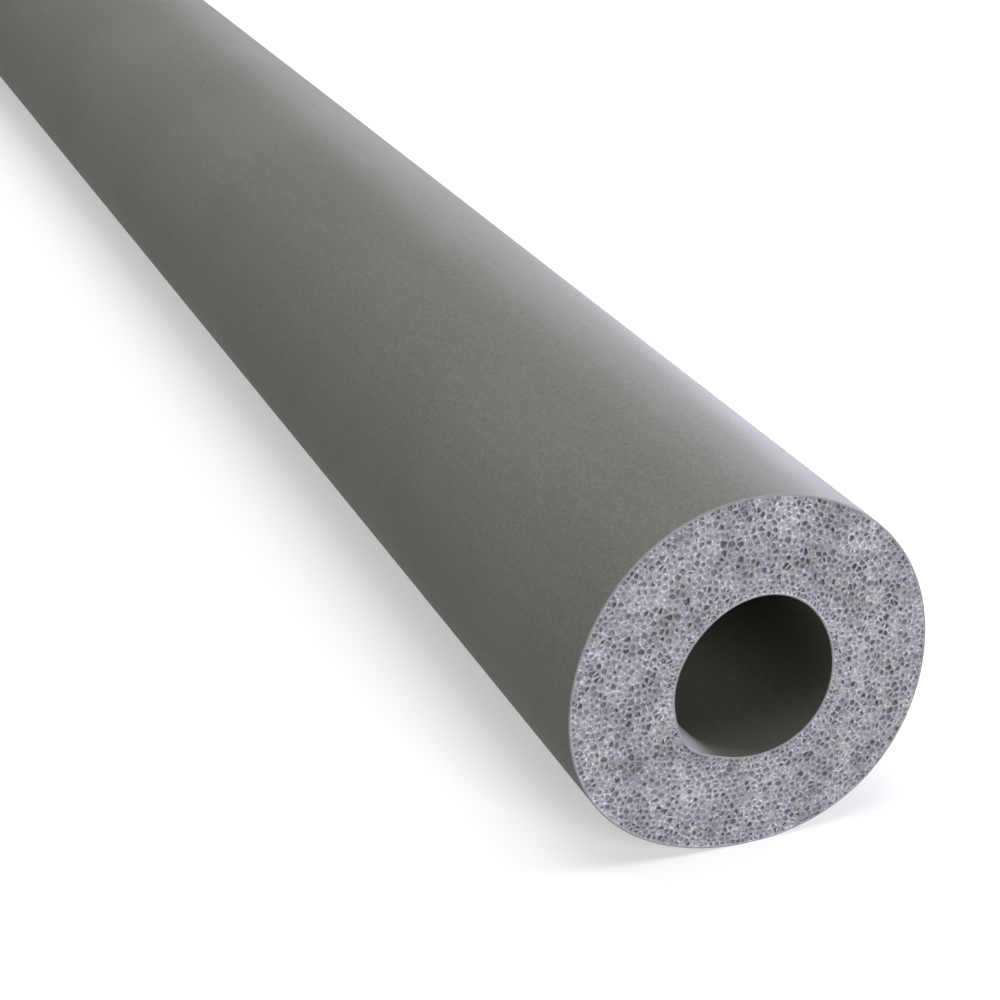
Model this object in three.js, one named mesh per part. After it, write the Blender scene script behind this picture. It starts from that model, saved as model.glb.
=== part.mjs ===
// One straight length of foam pipe insulation, a thick-walled tube that sleeves over a pipe.
// Millimetres, +Z up. The tube lies along X. The origin is under its middle, on the surface it lies on.
import * as THREE from "three";

// Driving dimensions
const LENGTH = 1000; // one sold length
const BORE_DIAMETER = 22; // the pipe's outside diameter
const WALL_THICKNESS = 13; // foam all round the pipe
const SIDES = 36; // flat sides, equal all round, that stand for each round surface

// Derived sizes
const boreRadius = BORE_DIAMETER / 2;
const outerRadius = boreRadius + WALL_THICKNESS;
const halfLength = LENGTH / 2;
const sideAngle = (2 * Math.PI) / SIDES;
const axisHeight = outerRadius * Math.cos(sideAngle / 2); // one side lies flat on the surface

function foamMaterial() {
  return new THREE.MeshStandardMaterial({ color: 0x7a7972, roughness: 0.6, metalness: 0 });
}

// The wall's section is a rectangle beside the axis, closed on itself and turned once round it.
function tubeGeometry() {
  const section = [
    new THREE.Vector2(boreRadius, -halfLength),
    new THREE.Vector2(outerRadius, -halfLength),
    new THREE.Vector2(outerRadius, halfLength),
    new THREE.Vector2(boreRadius, halfLength),
    new THREE.Vector2(boreRadius, -halfLength),
  ];
  return new THREE.LatheGeometry(section, SIDES);
}

// The lathe turns about Y. Half a side's turn puts a flat side lowest, and a quarter turn lays the axis along X.
function foamTube() {
  const geometry = tubeGeometry();
  geometry.rotateY(sideAngle / 2);
  geometry.rotateZ(-Math.PI / 2);
  const tube = new THREE.Mesh(geometry, foamMaterial());
  tube.name = "foam_tube";
  tube.position.z = axisHeight;
  return tube;
}

const pipeInsulation = new THREE.Group();
pipeInsulation.add(foamTube());

export default pipeInsulation;
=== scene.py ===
"""A length of grey foam pipe insulation, lying on a pale studio floor and seen from its cut end."""

import math

import bpy
import numpy as np
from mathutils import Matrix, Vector
from mathutils.geometry import delaunay_2d_cdt


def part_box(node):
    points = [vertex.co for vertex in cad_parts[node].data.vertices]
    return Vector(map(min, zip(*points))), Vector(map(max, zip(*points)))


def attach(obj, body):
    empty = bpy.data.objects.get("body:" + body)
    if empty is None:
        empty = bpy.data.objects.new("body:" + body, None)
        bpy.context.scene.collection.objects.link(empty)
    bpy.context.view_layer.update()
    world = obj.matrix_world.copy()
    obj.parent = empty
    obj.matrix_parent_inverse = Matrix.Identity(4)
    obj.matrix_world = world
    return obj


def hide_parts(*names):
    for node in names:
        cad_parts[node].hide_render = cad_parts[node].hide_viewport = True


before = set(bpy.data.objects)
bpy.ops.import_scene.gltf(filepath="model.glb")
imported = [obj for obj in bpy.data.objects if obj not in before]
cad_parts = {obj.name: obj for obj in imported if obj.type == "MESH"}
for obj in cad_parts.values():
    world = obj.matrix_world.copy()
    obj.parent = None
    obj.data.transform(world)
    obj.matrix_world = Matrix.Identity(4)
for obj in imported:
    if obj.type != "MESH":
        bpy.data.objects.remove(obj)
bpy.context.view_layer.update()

MM = 0.001
NODE = "foam_tube"

# The tube. Its length comes from the frame, and the section is the real foam's, a little out of round.
HALF_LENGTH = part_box(NODE)[1].x
OUTER_RADIUS = 23.95 * MM
BORE_RADIUS = 10.7 * MM
BORE_OFFSET = (0.46 * MM, -0.24 * MM)  # across and up, from the middle of the outside
REST_SINK = 0.10 * MM  # how far the foam gives where it rests
LIP = 0.10 * MM  # chamfer between a skin and the cut

# Waves round the section: how many, how high, and where a crest is in degrees
OUTER_WAVES = ((2, 0.15 * MM, -26.5), (3, 0.24 * MM, -31.3), (4, 0.20 * MM, 35.0))
BORE_WAVES = ((2, 0.15 * MM, 84.5), (3, 0.22 * MM, -42.3))

# Waves along the outer skin: turns round the section, turns in a metre, height and phase
LENGTH_WAVES = ((1, 3.1, 0.015 * MM, 0.4), (2, 5.3, 0.006 * MM, 2.1))

SECTION_SAMPLES = 720  # places round the section where its lowest point is looked for

# The mesh of the two skins
ROUND_SIDES = 160
LENGTH_STEPS = 64
BORE_STEPS = 24
END_CROWDING = 0.3  # from 0 for even steps along the length to 1 for steps that crowd at the ends

# At one place of the near end the bore's skin is pushed in, and its edge is turned out.
FOLD_ANGLE = math.radians(-138)
FOLD_WIDTH = math.radians(17)
FOLD_OUT = 0.65 * MM
FOLD_OUT_REACH = 0.8 * MM  # behind the cut
FOLD_IN = 0.44 * MM
FOLD_IN_PLACE = 1.9 * MM
FOLD_IN_REACH = 1.0 * MM
FOLD_RINGS = (0.35, 0.7, 1.05, 1.4, 1.8, 2.3, 3.0, 4.0, 5.5)  # mm behind the cut
FOLD_HIGHLIGHT_REACH = 1.8 * MM  # the fold's skin carries a painted highlight over this depth
PLAIN_TONE = 0.5  # of points that belong to no cell and carry no painted highlight

# The cut cells
SKIN_THICKNESS = 0.22 * MM  # dense skin, outside and in the bore
CELL_SPACING = 0.93 * MM
CELL_SPACING_AT_SKIN = 0.64 * MM
FINE_ZONE = 1.8 * MM  # cells grow to full size over this depth
RING_PITCH = 0.866  # from one ring of cells to the next, as a share of the spacing
CELL_JITTER = 0.40  # how far a cell's middle may stray, as a share of the spacing
SKIN_CLEARANCE = 0.3  # a cell's middle stays this share of the spacing inside the skins
MIRROR_REACH = 2.2 * CELL_SPACING
SAME_POINT = 0.0001 * MM  # sites nearer than this count as one
CORNER_MERGE = 0.10 * MM  # corners nearer than this become one
WALL_UNEVEN = 0.12 * MM  # how far a corner may lie below the cut
CUT_SEED = 11

# The pit in each cell
CELL_DEPTH = (0.13, 0.46)  # least and most, as a share of the cell's width
PIT_MOUTH = (0.52, 0.84)  # how far the open pit reaches from the cell's middle to its edge
PIT_ROUNDNESS = 0.5
PIT_SHIFT = 0.10  # how far the bottom may stray, as a share of the cell's radius
SHOULDER_DEPTH = (0.02, 0.09)  # mm
WALL_DEPTH = 0.75  # of the pit's depth
WALL_WIDTH = 0.66  # of the pit's mouth

SMOOTH_ANGLE = math.radians(34)

# The camera stands where the photograph was taken from, in metres from the middle of the near cut end.
CAMERA_AZIMUTH = math.radians(68.16)
CAMERA_ELEVATION = math.radians(24.65)
CAMERA_FROM_FACE = Vector((0.21266, -0.11778, 0.13411))
CAMERA_LENS = 82.83

# Looks, as linear colours
SKIN_PALE = (0.128, 0.126, 0.112, 1.0)
SKIN_DARK = (0.098, 0.0965, 0.085, 1.0)
# The bore's colours are darker than the outer skin's: painted shade inside the bore.
BORE_SHADED_PALE = (0.068, 0.0654, 0.0558, 1.0)
BORE_SHADED_DARK = (0.0545, 0.0524, 0.0447, 1.0)
# painted highlight: the pale lilac of the bore's fold, where light catches its turned-out lip
BORE_FOLD_HIGHLIGHT = (0.135, 0.131, 0.138, 1.0)
CUT_GREY = (0.164, 0.164, 0.181, 1.0)
CUT_OLIVE = (0.160, 0.160, 0.152, 1.0)
CUT_PAINTED_SPARKLE = (1.9, 1.9, 1.87, 1.0)  # times the colour under it: painted sparkle, painted highlights on the cell walls
CUT_PAINTED_SHADE = (0.50, 0.50, 0.51, 1.0)  # times the colour of the walls: painted shade deep in the cells
EDGE_AT_BORE = (0.158, 0.158, 0.168, 1.0)
EDGE_OUTSIDE = (0.146, 0.146, 0.156, 1.0)
EDGE_DARK = (0.11, 0.11, 0.115, 1.0)
FLOOR_DARK = (0.32, 0.32, 0.32, 1.0)
FLOOR_PALE = (0.34, 0.34, 0.34, 1.0)
FLOOR_GLOW = 0.48
FLOOR_HALF = 30.0
STUDIO_AIR = (0.97, 0.98, 1.0, 1.0)
STUDIO_DIM = 0.08
STUDIO_WALL = 0.92
WALL_TOWARDS = (-0.71, 0.71, 0.0)
WHITE_LIGHT = (0.99, 0.98, 1.0)
COOL_LIGHT = (0.81, 0.81, 1.0)
COOL_BACK_LIGHT = (0.84, 0.84, 1.0)
NEAR_END = (0.5, 0.0, 0.03)
BEHIND_NEAR_END = (0.47, 0.0, 0.04)


def across_wall(rho):
    """From 0 at the bore to 1 at the outside."""
    return np.clip((rho - BORE_RADIUS) / (OUTER_RADIUS - BORE_RADIUS), 0, 1)


def waves(angle, table):
    return sum(height * np.cos(count * (angle - math.radians(crest))) for count, height, crest in table)


def section(angle, rho):
    """Across and up from the axis, for polar places in the section, with the foam's departures from round."""
    share = across_wall(rho)
    radius = rho + share * waves(angle, OUTER_WAVES) + (1 - share) * waves(angle, BORE_WAVES)
    across = radius * np.cos(angle) + (1 - share) * BORE_OFFSET[0]
    up = radius * np.sin(angle) + (1 - share) * BORE_OFFSET[1]
    return across, up


def axis_height():
    """The outside's lowest point lies REST_SINK under the floor before it is pressed flat."""
    angle = np.linspace(0, 2 * np.pi, SECTION_SAMPLES)
    return -section(angle, np.full(SECTION_SAMPLES, OUTER_RADIUS))[1].min() - REST_SINK


AXIS_HEIGHT = axis_height()


def fold_share(angle):
    """From 0 well away from the fold to 1 at its middle."""
    turn = (angle - FOLD_ANGLE + math.pi) % (2 * math.pi) - math.pi
    return np.exp(-((turn / FOLD_WIDTH) ** 2))


def fold(x, angle):
    """How far the bore's wall stands back at the fold, out at the cut and in just behind it."""
    behind = HALF_LENGTH - x
    out = FOLD_OUT * np.exp(-((behind / FOLD_OUT_REACH) ** 2))
    inwards = FOLD_IN * np.exp(-(((behind - FOLD_IN_PLACE) / FOLD_IN_REACH) ** 2))
    return (out - inwards) * fold_share(angle)


def placed(x, angle, rho):
    """Points of the tube in the frame, from their place along the length and their polar place."""
    share = across_wall(rho)
    rho = rho + (1 - share) ** 3 * fold(x, angle)
    swell = sum(h * np.sin(2 * np.pi * k * x + n * angle + phase) for n, k, h, phase in LENGTH_WAVES)
    across, up = section(angle, rho + share * swell)
    return np.stack([x, across, np.maximum(up + AXIS_HEIGHT, 0.0)], axis=1)


def ring_places(low, high):
    """Radii of rings of cells that fill the wall, with each ring's spacing, finer near both skins."""
    edges, steps = [low], []
    while edges[-1] < high:
        near = min(1, min(edges[-1] - low, high - edges[-1]) / FINE_ZONE)
        spacing = CELL_SPACING_AT_SKIN + (CELL_SPACING - CELL_SPACING_AT_SKIN) * near
        steps.append(spacing)
        edges.append(edges[-1] + spacing * RING_PITCH)
    fit = (high - low) / (edges[-1] - low)
    return [(low + (e - low + s * RING_PITCH / 2) * fit, s * fit) for e, s in zip(edges, steps)]


def cell_sites(rng, low, high):
    """Scattered middles of cells between two radii."""
    found = []
    for middle, spacing in ring_places(low, high):
        count = round(2 * math.pi * middle / spacing)
        turn = rng.uniform(0, 2 * math.pi)
        place = np.arange(count) + rng.uniform(-CELL_JITTER, CELL_JITTER, count)
        angle = turn + place * 2 * math.pi / count
        rho = middle + rng.uniform(-CELL_JITTER, CELL_JITTER, count) * spacing
        rho = np.clip(rho, low + SKIN_CLEARANCE * spacing, high - SKIN_CLEARANCE * spacing)
        found.append(np.stack([rho * np.cos(angle), rho * np.sin(angle)], axis=1))
    return np.concatenate(found)


def mirrored(sites, radius):
    """Copies of the sites near a circle, on its other side, so that cell walls follow the circle."""
    rho = np.hypot(sites[:, 0], sites[:, 1])
    near = np.abs(rho - radius) < MIRROR_REACH
    return sites[near] * ((2 * radius - rho[near]) / rho[near])[:, None]


def triangulated(sites, low, high):
    """Triangles between the sites and their mirror copies, and which of the points are sites."""
    points = np.concatenate([sites, mirrored(sites, high), mirrored(sites, low)])
    made = delaunay_2d_cdt([Vector(p) for p in points.tolist()], [], [], 0, SAME_POINT)
    points = np.array([v[:] for v in made[0]])
    triangles = np.array([f[:3] for f in made[2]])
    is_site = [bool(source) and source[0] < len(sites) for source in made[3]]
    return points, triangles, is_site


def circumcentres(points, triangles):
    a, b, c = (points[triangles[:, k]] for k in range(3))
    ab, ac = b - a, c - a
    d = 2 * (ab[:, 0] * ac[:, 1] - ab[:, 1] * ac[:, 0])
    ab2, ac2 = (ab**2).sum(1), (ac**2).sum(1)
    x = (ac[:, 1] * ab2 - ab[:, 1] * ac2) / d
    y = (ab[:, 0] * ac2 - ac[:, 0] * ab2) / d
    return a + np.stack([x, y], axis=1)


def merged(centres, triangles):
    """For each triangle the number of its corner point, with corners that nearly meet made one."""
    parent = list(range(len(triangles)))

    def root(i):
        while parent[i] != i:
            parent[i] = parent[parent[i]]
            i = parent[i]
        return i

    beside = {}
    for t, (a, b, c) in enumerate(triangles.tolist()):
        for edge in ((a, b), (b, c), (c, a)):
            key = (min(edge), max(edge))
            if key in beside:
                other = beside[key]
                if np.hypot(*(centres[t] - centres[other])) < CORNER_MERGE:
                    parent[root(t)] = root(other)
            else:
                beside[key] = t
    return np.array([root(i) for i in range(len(triangles))])


def triangles_around(triangles):
    """For each point, the triangles that meet there."""
    around = {}
    for t, corners in enumerate(triangles.tolist()):
        for v in corners:
            around.setdefault(v, []).append(t)
    return around


def cell_loop(middle, own, centres, corner):
    """A cell's corners in turn, or nothing where fewer than three are left."""
    arms = centres[own] - middle
    loop = []
    for t in np.argsort(np.arctan2(arms[:, 1], arms[:, 0])):
        c = int(corner[own[t]])
        if not loop or loop[-1] != c:
            loop.append(c)
    if loop[0] == loop[-1]:
        loop.pop()
    return loop if len(loop) > 2 and len(set(loop)) == len(loop) else []


def cell_pattern(rng, low, high):
    """Places of the cells' corners, each cell's loop of corners, and the corners along the two skins."""
    points, triangles, is_site = triangulated(cell_sites(rng, low, high), low, high)
    centres = circumcentres(points, triangles)
    corner = merged(centres, triangles)
    place = {int(c): centres[corner == c].mean(0) for c in np.unique(corner)}
    around = triangles_around(triangles)
    loops = [cell_loop(points[v], own, centres, corner) for v, own in around.items() if is_site[v]]
    loops = [loop for loop in loops if loop]
    used = {c for loop in loops for c in loop}
    far = np.hypot(points[:, 0], points[:, 1]) > (low + high) / 2
    along = {}
    for name, radius, outside in (("outer", high, True), ("bore", low, False)):
        beyond = [v for v in around if not is_site[v] and far[v] == outside]
        on_skin = {int(corner[t]) for v in beyond for t in around[v]} & used
        for c in on_skin:
            place[c] = place[c] * radius / np.hypot(*place[c])
        along[name] = sorted(on_skin, key=lambda c: math.atan2(place[c][1], place[c][0]))
    return place, loops, along


class Builder:
    """Gathers the points and faces of one mesh."""

    def __init__(self):
        self.points, self.tones, self.faces, self.kinds, self.count = [], [], [], [], 0

    def add(self, points, tone=PLAIN_TONE):
        points = np.atleast_2d(points)
        first = self.count
        self.points.append(points)
        self.tones.append(np.broadcast_to(tone, len(points)))
        self.count += len(points)
        return np.arange(first, self.count)

    def face(self, corners, kind, flip=False):
        corners = [int(c) for c in corners]
        self.faces.append(corners[::-1] if flip else corners)
        self.kinds.append(kind)

    def band(self, a, b, kind, flip=False):
        """Quads between two rings of as many points."""
        for i in range(len(a)):
            j = (i + 1) % len(a)
            self.face((a[i], a[j], b[j], b[i]), kind, flip)

    def fan(self, ring, tip, kind, flip):
        """Triangles from a ring to one point."""
        for i in range(len(ring)):
            self.face((ring[i], ring[(i + 1) % len(ring)], tip), kind, flip)

    def zip(self, a, angle_a, b, angle_b, kind, flip):
        """Triangles between two rings that both go round once, each sorted by angle."""
        i = j = 0
        turn = 2 * math.pi
        while i < len(a) or j < len(b):
            next_a = angle_a[(i + 1) % len(a)] + turn * ((i + 1) // len(a))
            next_b = angle_b[(j + 1) % len(b)] + turn * ((j + 1) // len(b))
            p, q = a[i % len(a)], b[j % len(b)]
            if j >= len(b) or (i < len(a) and next_a <= next_b):
                self.face((p, a[(i + 1) % len(a)], q), kind, flip)
                i += 1
            else:
                self.face((p, b[(j + 1) % len(b)], q), kind, flip)
                j += 1


def ring_angles():
    return -math.pi + (np.arange(ROUND_SIDES) + 0.5) * 2 * math.pi / ROUND_SIDES


def add_ring(mesh, x, radius, tone=PLAIN_TONE):
    """One ring of points round the axis."""
    each = np.ones(ROUND_SIDES)
    return mesh.add(placed(x * each, ring_angles(), radius * each), tone)


def add_pit(mesh, put, rng, corners, edge, flip):
    """One cut cell: a shoulder inside its edge, then the pit's wall and its bottom."""
    middle = corners.mean(0)
    arms = corners - middle
    reach = np.hypot(arms[:, 0], arms[:, 1])
    size = reach.mean()
    depth = 2 * size * rng.uniform(*CELL_DEPTH)
    tone = rng.uniform(0, 1)
    mouth = rng.uniform(*PIT_MOUTH)
    rounder = (1 - PIT_ROUNDNESS) * reach + PIT_ROUNDNESS * np.minimum(reach, size)
    arms = arms / reach[:, None] * rounder[:, None] * mouth
    middle_below = middle + rng.uniform(-PIT_SHIFT, PIT_SHIFT, 2) * size
    count = len(corners)
    shoulder = put(middle + arms, rng.uniform(*SHOULDER_DEPTH, count) * MM, tone)
    wall = put(middle_below + arms * WALL_WIDTH, np.full(count, depth * WALL_DEPTH), tone)
    bottom = put(middle_below, depth, tone)[0]
    mesh.band(edge, shoulder, "cut", flip)
    mesh.band(shoulder, wall, "cut", flip)
    mesh.fan(wall, bottom, "cut", flip)


def cut_end(mesh, side, outer_rim, bore_rim):
    """One cut end: dished cells between two thin bands of dense skin."""
    rng = np.random.default_rng(CUT_SEED + side)
    place, loops, along = cell_pattern(rng, BORE_RADIUS + SKIN_THICKNESS, OUTER_RADIUS - SKIN_THICKNESS)
    flip = side < 0

    def put(points, sunk, tone):
        points = np.atleast_2d(points)
        x = side * (HALF_LENGTH - np.atleast_1d(sunk))
        angle, rho = np.arctan2(points[:, 1], points[:, 0]), np.hypot(points[:, 0], points[:, 1])
        return mesh.add(placed(x, angle, rho), tone)

    level = set(along["outer"]) | set(along["bore"])
    numbers = {}
    for c in sorted({c for loop in loops for c in loop}):
        sunk = 0.0 if c in level else rng.uniform(0, WALL_UNEVEN)
        numbers[c] = put(place[c], sunk, PLAIN_TONE)[0]
    for loop in loops:
        corners = np.array([place[c] for c in loop])
        add_pit(mesh, put, rng, corners, np.array([numbers[c] for c in loop]), flip)
    for name, rim in (("outer", outer_rim), ("bore", bore_rim)):
        cells = [numbers[c] for c in along[name]]
        cell_angles = [math.atan2(place[c][1], place[c][0]) for c in along[name]]
        if name == "outer":
            mesh.zip(rim, ring_angles(), cells, cell_angles, "rim", flip)
        else:
            mesh.zip(cells, cell_angles, rim, ring_angles(), "rim", flip)


def add_skin(mesh, radius, steps, more=()):
    """Rings of points along one skin, and how much painted highlight each point gets at the bore's fold."""
    reach = HALF_LENGTH - LIP
    spread = np.linspace(-1, 1, steps + 1)
    along = reach * np.sin(spread * math.pi / 2) * END_CROWDING + reach * spread * (1 - END_CROWDING)
    rings = []
    for x in sorted([*along, *more]):
        # Painted highlight: near the cut, the bore's skin at the fold is marked to be paler, as if lit.
        near_cut = np.clip((x - HALF_LENGTH) / FOLD_HIGHLIGHT_REACH + 1, 0, 1)
        fold_highlight = near_cut * (radius < OUTER_RADIUS) * fold_share(ring_angles())
        rings.append(add_ring(mesh, x, radius, PLAIN_TONE + (1 - PLAIN_TONE) * fold_highlight))
    return rings


def tube_mesh():
    """The whole tube as one closed mesh: outer skin, bore skin and two cut ends."""
    mesh = Builder()
    outer = add_skin(mesh, OUTER_RADIUS, LENGTH_STEPS)
    bore = add_skin(mesh, BORE_RADIUS, BORE_STEPS, [HALF_LENGTH - depth * MM for depth in FOLD_RINGS])
    for a, b in zip(outer[:-1], outer[1:]):
        mesh.band(a, b, "skin")
    for a, b in zip(bore[:-1], bore[1:]):
        mesh.band(b, a, "bore")
    for side, end in ((-1, 0), (1, -1)):
        outer_rim = add_ring(mesh, side * HALF_LENGTH, OUTER_RADIUS - LIP)
        bore_rim = add_ring(mesh, side * HALF_LENGTH, BORE_RADIUS + LIP)
        mesh.band(outer[end], outer_rim, "rim", side < 0)
        mesh.band(bore_rim, bore[end], "rim", side < 0)
        cut_end(mesh, side, outer_rim, bore_rim)
    return mesh


def add_tube(materials):
    mesh = tube_mesh()
    data = bpy.data.meshes.new("foam_length")
    data.from_pydata(np.concatenate(mesh.points).tolist(), [], mesh.faces)
    order = list(materials)
    for name in order:
        data.materials.append(materials[name])
    data.polygons.foreach_set("material_index", [order.index(kind) for kind in mesh.kinds])
    tone = data.attributes.new("tone_and_fold_highlight", "FLOAT", "POINT")
    tone.data.foreach_set("value", np.concatenate(mesh.tones).astype(np.float32))
    data.polygons.foreach_set("use_smooth", [True] * len(data.polygons))
    data.update()
    data.validate()
    data.set_sharp_from_angle(angle=SMOOTH_ANGLE)
    tube = bpy.data.objects.new("foam_length", data)
    bpy.context.scene.collection.objects.link(tube)
    return tube


class Nodes:
    """Short ways to fill an empty node tree."""

    def __init__(self, tree):
        self.tree = tree
        self.tree.nodes.clear()

    def node(self, kind, **settings):
        made = self.tree.nodes.new(kind)
        for key, value in settings.items():
            setattr(made, key, value)
        return made

    def link(self, source, target):
        self.tree.links.new(source, target)

    def feed(self, socket, value):
        if isinstance(value, bpy.types.NodeSocket):
            self.link(value, socket)
        else:
            socket.default_value = value

    def split(self, vector):
        made = self.node("ShaderNodeSeparateXYZ")
        self.link(vector, made.inputs["Vector"])
        return made.outputs

    def ranged(self, value, low, high, to_low=0.0, to_high=1.0):
        made = self.node("ShaderNodeMapRange")
        for name, number in (("From Min", low), ("From Max", high), ("To Min", to_low), ("To Max", to_high)):
            made.inputs[name].default_value = number
        self.link(value, made.inputs["Value"])
        return made.outputs["Result"]

    def maths(self, operation, a, b):
        made = self.node("ShaderNodeMath", operation=operation)
        self.feed(made.inputs[0], a)
        self.feed(made.inputs[1], b)
        return made.outputs["Value"]


class Shading(Nodes):
    """A Principled material and short ways to add the nodes behind it."""

    def __init__(self, name):
        self.material = bpy.data.materials.new(name)
        self.material.use_nodes = True
        super().__init__(self.material.node_tree)
        self.shader = self.node("ShaderNodeBsdfPrincipled")
        self.link(self.shader.outputs["BSDF"], self.node("ShaderNodeOutputMaterial").inputs["Surface"])
        self.coordinates = self.node("ShaderNodeTexCoord").outputs["Object"]

    def tone_and_fold_highlight(self):
        return self.node("ShaderNodeAttribute", attribute_name="tone_and_fold_highlight").outputs["Fac"]

    def stretched(self, scale):
        made = self.node("ShaderNodeMapping")
        made.inputs["Scale"].default_value = scale
        self.link(self.coordinates, made.inputs["Vector"])
        return made.outputs["Vector"]

    def noise(self, scale, detail=2.0, roughness=0.5, vector=None):
        made = self.node("ShaderNodeTexNoise")
        made.inputs["Scale"].default_value = scale
        made.inputs["Detail"].default_value = detail
        made.inputs["Roughness"].default_value = roughness
        self.link(vector or self.coordinates, made.inputs["Vector"])
        return made.outputs["Fac"]

    def weighted(self, *parts):
        """The sum of values, each times its weight."""
        total = None
        for value, weight in parts:
            part = self.maths("MULTIPLY", value, weight)
            total = self.maths("ADD", total, part) if total else part
        return total

    def mixed(self, share, a, b, blend="MIX"):
        made = self.node("ShaderNodeMix", data_type="RGBA", blend_type=blend)
        self.feed(made.inputs["Factor"], share)
        self.feed(made.inputs[6], a)
        self.feed(made.inputs[7], b)
        return made.outputs[2]

    def times(self, colour, other):
        return self.mixed(1.0, colour, other, "MULTIPLY")

    def bump(self, height, strength, distance, normal=None):
        made = self.node("ShaderNodeBump")
        made.inputs["Strength"].default_value = strength
        made.inputs["Distance"].default_value = distance
        self.link(height, made.inputs["Height"])
        if normal:
            self.link(normal, made.inputs["Normal"])
        return made.outputs["Normal"]

    def finish(self, colour, roughness, normal, **fixed):
        self.feed(self.shader.inputs["Base Color"], colour)
        self.feed(self.shader.inputs["Roughness"], roughness)
        self.link(normal, self.shader.inputs["Normal"])
        for name, value in fixed.items():
            self.shader.inputs[name.replace("_", " ")].default_value = value
        return self.material


def skin_material(name, pale, dark, roughness, fold_highlight=None):
    """Closed foam skin: satin, finely grained, with slight streaks along the extrusion."""
    s = Shading(name)
    cloud = s.noise(26.0, 3.0)
    streak = s.noise(1.0, 2.0, vector=s.stretched((14.0, 500.0, 500.0)))
    grain = s.noise(1300.0, 2.0, 0.6)
    fine = s.noise(3100.0, 1.0)
    speck = s.ranged(s.noise(420.0, 1.0), 0.76, 0.82, 0.0, 0.25)
    tone = s.weighted((cloud, 0.20), (streak, 0.10), (grain, 0.30), (fine, 0.40))
    colour = s.mixed(s.ranged(tone, 0.38, 0.62), dark, pale)
    colour = s.mixed(speck, colour, tuple(0.5 * c for c in dark[:3]) + (1.0,))
    if fold_highlight:
        # A painted highlight pales the bore's skin at the fold, standing in for light on its turned-out lip.
        colour = s.mixed(s.ranged(s.tone_and_fold_highlight(), 0.55, 0.85), colour, fold_highlight)
    gloss = s.ranged(s.noise(60.0, 2.0), 0.3, 0.7, roughness - 0.02, roughness + 0.02)
    normal = s.bump(fine, 0.45, 0.035 * MM)
    normal = s.bump(s.noise(1100.0, 3.0, 0.55), 0.35, 0.06 * MM, normal)
    normal = s.bump(s.noise(190.0, 2.0), 0.06, 0.20 * MM, normal)
    return s.finish(colour, gloss, normal, Specular_IOR_Level=0.03)


def cut_material():
    """Cut foam: lilac grey, with painted shade down in the cells, faint olive patches and pale flecks of
    painted highlight.
    """
    s = Shading("foam_cut")
    tone = s.tone_and_fold_highlight()
    patch = s.ranged(s.noise(230.0, 3.0, 0.6), 0.55, 0.72, 0.0, 0.8)
    wall = s.mixed(patch, CUT_GREY, CUT_OLIVE)
    cloud = s.ranged(s.noise(170.0, 3.0, 0.6), 0.32, 0.68, 0.75, 1.25)
    cloud = s.maths("MULTIPLY", cloud, s.ranged(tone, 0.0, 1.0, 0.70, 1.26))
    grey = s.node("ShaderNodeCombineXYZ")
    for axis in "XYZ":
        s.link(cloud, grey.inputs[axis])
    wall = s.times(wall, grey.outputs["Vector"])
    # Painted highlight: pale sparkles scattered on the cell walls, standing in for walls that catch the
    # light.
    painted_sparkle = s.ranged(s.noise(2700.0, 1.0, 0.6), 0.52, 0.70)
    wall = s.mixed(painted_sparkle, wall, s.times(wall, CUT_PAINTED_SPARKLE))
    along = s.maths("ABSOLUTE", s.split(s.coordinates)["X"], 0.0)
    # Painted shade: the colour darkens with depth below the cut, down in the cells.
    depth = s.ranged(s.maths("SUBTRACT", HALF_LENGTH, along), 0.02 * MM, 0.40 * MM)
    depth = s.maths("MULTIPLY", depth, s.ranged(tone, 0.0, 1.0, 1.0, 0.6))
    colour = s.mixed(depth, wall, s.times(wall, CUT_PAINTED_SHADE))
    normal = s.bump(s.noise(2200.0, 2.0, 0.6), 0.7, 0.10 * MM)
    return s.finish(colour, 0.6, normal, Specular_IOR_Level=0.3)


def from_axis(s):
    """How far a shaded point is from the tube's axis."""
    place = s.split(s.coordinates)
    up = s.maths("SUBTRACT", place["Z"], AXIS_HEIGHT)
    square = s.maths("ADD", s.maths("MULTIPLY", place["Y"], place["Y"]), s.maths("MULTIPLY", up, up))
    return s.maths("POWER", square, 0.5)


def edge_material():
    """The dense skin where the knife cut it, paler at the bore."""
    s = Shading("foam_skin_edge")
    outwards = s.ranged(from_axis(s), BORE_RADIUS + 1 * MM, OUTER_RADIUS - 1 * MM)
    pale = s.mixed(outwards, EDGE_AT_BORE, EDGE_OUTSIDE)
    colour = s.mixed(s.ranged(s.noise(900.0, 2.0), 0.35, 0.65, 0.5, 1.0), EDGE_DARK, pale)
    normal = s.bump(s.noise(1800.0, 2.0), 0.4, 0.05 * MM)
    return s.finish(colour, 0.6, normal, Specular_IOR_Level=0.2)


def floor_material():
    """Matt and pale, with a glow that keeps the shadow under the tube light."""
    s = Shading("studio_floor")
    colour = s.mixed(s.noise(3.0, 2.0), FLOOR_DARK, FLOOR_PALE)
    normal = s.bump(s.noise(500.0, 2.0), 0.05, 0.1 * MM)
    glow = {"Emission_Color": (1.0, 1.0, 1.0, 1.0), "Emission_Strength": FLOOR_GLOW}
    return s.finish(colour, 0.9, normal, Specular_IOR_Level=0.0, **glow)


def add_floor():
    data = bpy.data.meshes.new("studio_floor")
    corners = [(x * FLOOR_HALF, y * FLOOR_HALF, 0) for x, y in ((-1, -1), (1, -1), (1, 1), (-1, 1))]
    data.from_pydata(corners, [], [(0, 1, 2, 3)])
    data.materials.append(floor_material())
    floor = bpy.data.objects.new("studio_floor", data)
    bpy.context.scene.collection.objects.link(floor)


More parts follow.
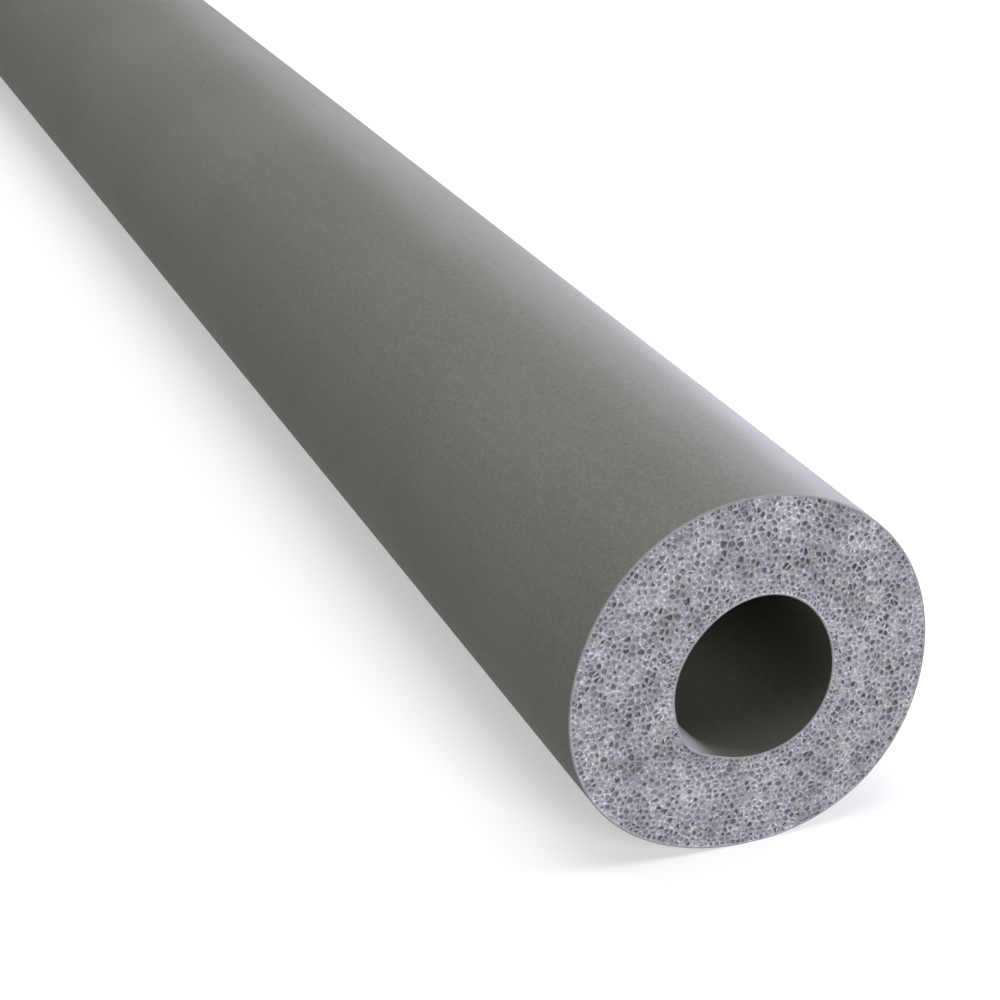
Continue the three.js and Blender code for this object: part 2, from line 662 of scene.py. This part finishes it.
def add_world():
    """Dim surroundings, with a pale wall that stands low behind the tube, towards -X and +Y."""
    world = bpy.data.worlds.new("studio")
    bpy.context.scene.world = world
    world.use_nodes = True
    s = Nodes(world.node_tree)
    background = s.node("ShaderNodeBackground")
    background.inputs["Color"].default_value = STUDIO_AIR
    s.link(background.outputs["Background"], s.node("ShaderNodeOutputWorld").inputs["Surface"])
    direction = s.node("ShaderNodeTexCoord").outputs["Generated"]
    behind = s.node("ShaderNodeVectorMath", operation="DOT_PRODUCT")
    s.link(direction, behind.inputs[0])
    behind.inputs[1].default_value = WALL_TOWARDS
    near_wall = s.ranged(behind.outputs["Value"], 0.1, 0.5)
    below_top = s.ranged(s.split(direction)["Z"], 0.20, 0.34, 1.0, 0.0)
    wall = s.maths("MULTIPLY", near_wall, below_top)
    s.link(s.ranged(wall, 0.0, 1.0, STUDIO_DIM, STUDIO_WALL), background.inputs["Strength"])


def add_light(name, kind, energy, colour, place, target, **settings):
    data = bpy.data.lights.new(name, kind)
    data.energy = energy
    data.color = colour
    for key, value in settings.items():
        setattr(data, key, value)
    light = bpy.data.objects.new(name, data)
    light.location = place
    light.rotation_mode = "QUATERNION"
    light.rotation_quaternion = (Vector(target) - Vector(place)).to_track_quat("-Z", "Y")
    bpy.context.scene.collection.objects.link(light)
    return light


def add_sun(name, energy, colour, come_from, spread):
    add_light(name, "SUN", energy, colour, come_from, (0, 0, 0), angle=math.radians(spread))


def add_spot(name, energy, colour, place, target, cone, radius):
    settings = {"spot_size": math.radians(cone), "spot_blend": 1.0, "shadow_soft_size": radius}
    spot = add_light(name, "SPOT", energy, colour, place, target, **settings)
    spot.visible_camera = False


def add_lights():
    """Wide lights from above, in front, behind and the right, and two spots for the near end's cool sheen."""
    add_sun("top_light", 2.4, WHITE_LIGHT, (0.12, 0.0, 0.99), 40)
    add_sun("front_light", 3.9, WHITE_LIGHT, (0.92, 0.0, 0.39), 30)
    add_sun("back_light", 1.35, WHITE_LIGHT, (-0.60, -0.25, 0.76), 35)
    add_sun("back_right_light", 0.80, COOL_BACK_LIGHT, (-0.84, 0.45, 0.25), 25)
    add_sun("right_light", 1.3, COOL_LIGHT, (-0.15, 0.96, 0.20), 30)
    add_spot("right_spot", 50, COOL_LIGHT, (0.72, 1.0, 0.28), NEAR_END, 26, 0.10)
    add_spot("back_spot", 24, COOL_LIGHT, (-0.30, 0.75, 0.12), BEHIND_NEAR_END, 26, 0.10)


def add_camera():
    data = bpy.data.cameras.new("camera")
    data.lens = CAMERA_LENS
    data.sensor_width = 36.0
    data.clip_start, data.clip_end = 0.01, 100.0
    camera = bpy.data.objects.new("camera", data)
    level = math.cos(CAMERA_ELEVATION)
    back = Vector((
        math.sin(CAMERA_AZIMUTH) * level,
        -math.cos(CAMERA_AZIMUTH) * level,
        math.sin(CAMERA_ELEVATION),
    ))
    camera.rotation_mode = "QUATERNION"
    camera.rotation_quaternion = (-back).to_track_quat("-Z", "Y")
    camera.location = Vector((HALF_LENGTH, 0.0, AXIS_HEIGHT)) + CAMERA_FROM_FACE
    bpy.context.scene.collection.objects.link(camera)
    bpy.context.scene.camera = camera


add_camera()
add_world()
add_lights()
add_floor()
tube = add_tube({
    "skin": skin_material("foam_skin", SKIN_PALE, SKIN_DARK, 0.55),
    "bore": skin_material("foam_bore", BORE_SHADED_PALE, BORE_SHADED_DARK, 0.6, BORE_FOLD_HIGHLIGHT),
    "cut": cut_material(),
    "rim": edge_material(),
})
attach(tube, "root")
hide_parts(NODE)
bpy.context.scene.view_settings.view_transform = "Standard"
